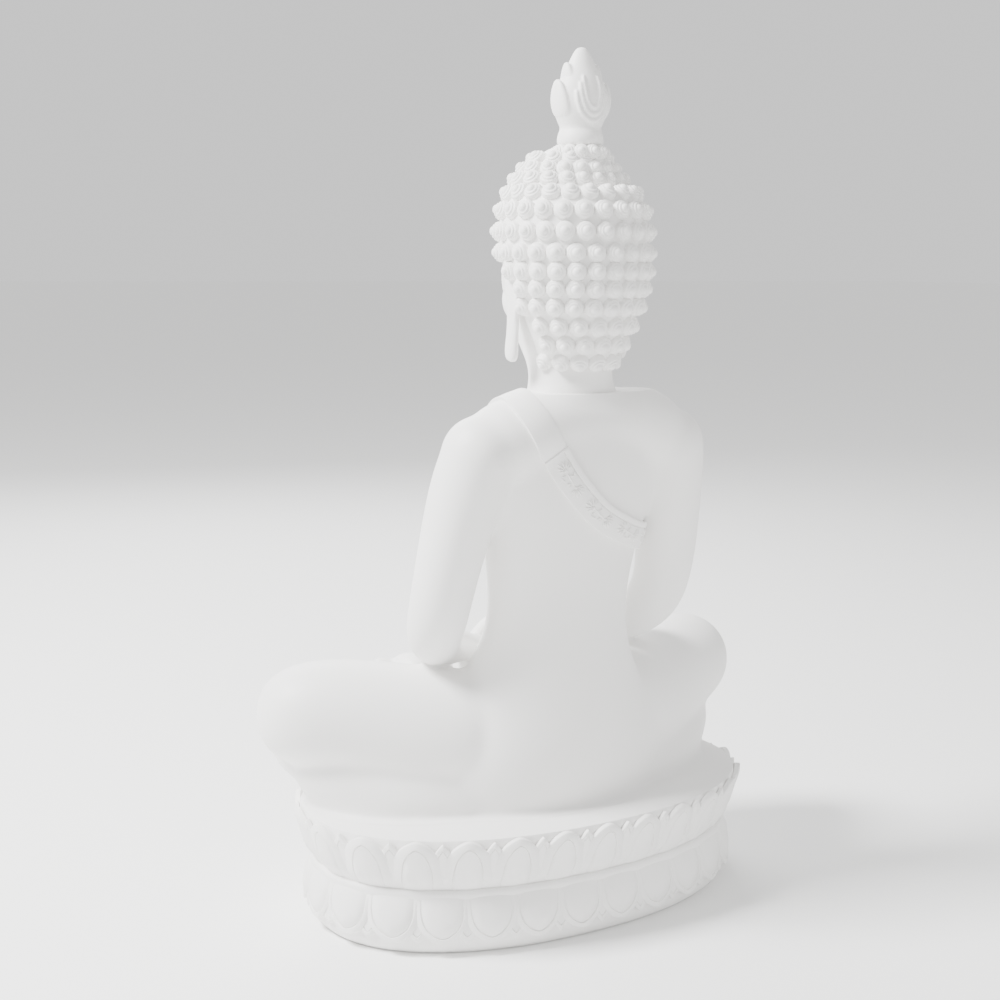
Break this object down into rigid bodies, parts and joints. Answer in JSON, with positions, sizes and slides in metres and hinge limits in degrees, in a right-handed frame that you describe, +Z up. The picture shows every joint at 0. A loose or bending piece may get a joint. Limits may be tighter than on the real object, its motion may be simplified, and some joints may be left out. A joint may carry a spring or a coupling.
{
  "type": "seated buddha statue",
  "caption": "Free-standing white cast statue of a seated meditating figure with curled hair and flame finial, on an oval two-tier lotus base.",
  "frame": {"origin": "centre of the flat face that the base stands on", "axes": "+Z up, the figure faces -Y, its left hand is towards +X"},
  "size_m": [0.4584, 0.2592, 0.7],
  "materials": {
    "cast_resin": "satin white paint over cast polyresin",
    "robe_resin": "satin white paint over cast polyresin relief",
    "base_plate": "matte white board",
    "pad_foam": "matte foam rubber",
    "steel": "plain drawn rod"
  },
  "bodies": {
    "root": {"lotus_lower": "cast_resin", "lotus_upper": "cast_resin", "bottom_plate": "base_plate", "plate_screws": "steel", "foot_pads": "pad_foam", "tier_dowels": "steel", "seat_dowels": "steel", "legs": "cast_resin", "torso": "cast_resin", "arm_left": "cast_resin", "arm_right": "cast_resin", "hands": "cast_resin", "waist_dowels": "steel", "shoulder_dowels": "steel", "wrist_dowels": "steel", "neck_dowel": "steel", "head": "cast_resin", "hair_cap": "cast_resin", "hair_dowel": "steel", "flame_finial": "cast_resin", "finial_peg": "steel", "robe_strip": "robe_resin", "sash_band": "robe_resin"}
  },
  "joints": []
}
